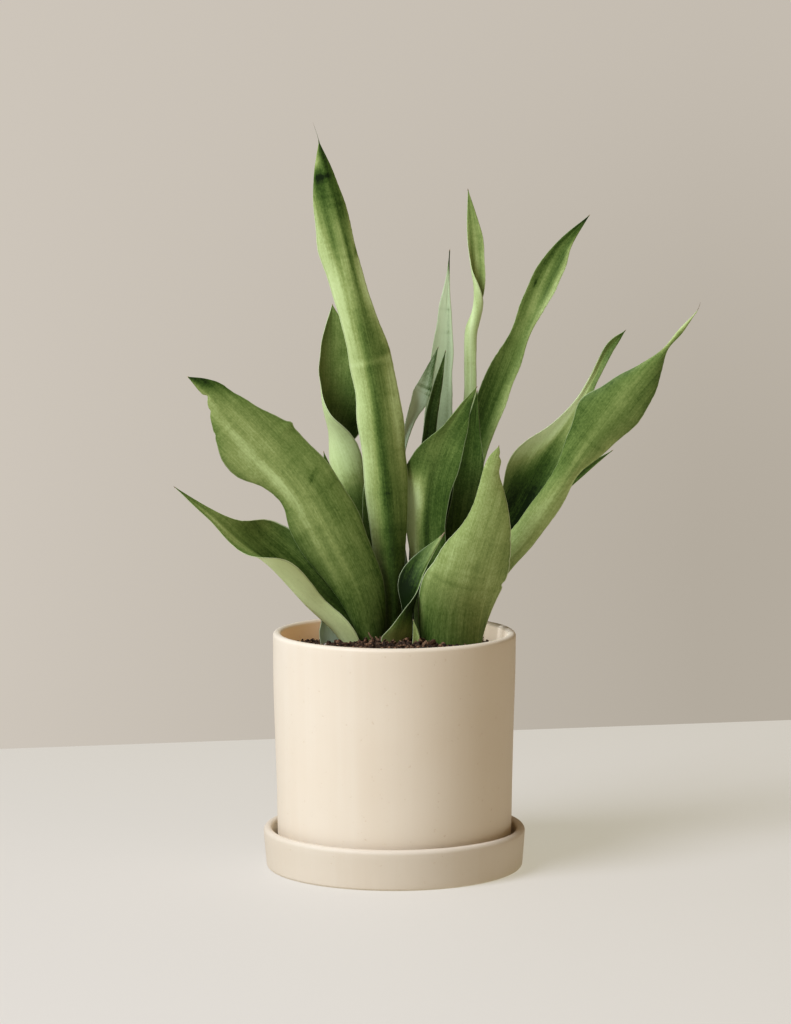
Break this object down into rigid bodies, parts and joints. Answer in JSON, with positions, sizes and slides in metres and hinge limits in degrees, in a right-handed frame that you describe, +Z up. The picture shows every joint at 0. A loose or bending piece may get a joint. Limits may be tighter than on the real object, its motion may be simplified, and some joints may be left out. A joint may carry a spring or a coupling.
{
  "type": "potted snake plant",
  "caption": "Upright houseplant of stiff sword-shaped leaves growing from soil in a round tapered pot that stands in a matching drip saucer.",
  "frame": {"origin": "centre of the saucer's flat underside, on the surface it stands on", "axes": "+Z up along the pot's axis, -Y towards the front of the plant, +X to the viewer's right"},
  "size_m": [0.3249, 0.1681, 0.4611],
  "materials": {
    "cream_ceramic": "matt cream glaze",
    "potting_soil": "rough and granular",
    "rootstock": "matt",
    "leaf_green": "satin, faintly banded",
    "leaf_silver": "satin, silvery"
  },
  "bodies": {
    "root": {"saucer": "cream_ceramic", "pot": "cream_ceramic", "soil": "potting_soil", "rhizome": "rootstock", "leaf_tall_front": "leaf_green", "leaf_broad_left": "leaf_green", "leaf_low_left": "leaf_green", "leaf_twisted_left": "leaf_green", "leaf_inner_left": "leaf_green", "leaf_back_left": "leaf_green", "leaf_pale_back": "leaf_silver", "leaf_curled_back": "leaf_silver", "leaf_dark_back": "leaf_green", "leaf_twisted_back": "leaf_green", "leaf_leaning_right": "leaf_green", "leaf_front_middle": "leaf_green", "leaf_dark_middle": "leaf_green", "leaf_broad_front": "leaf_green", "leaf_broad_right": "leaf_green", "leaf_inner_right": "leaf_green", "leaf_back_right": "leaf_green", "leaf_cupped_front": "leaf_green", "leaf_sprout": "leaf_green", "leaf_stub_left": "leaf_silver"}
  },
  "joints": []
}
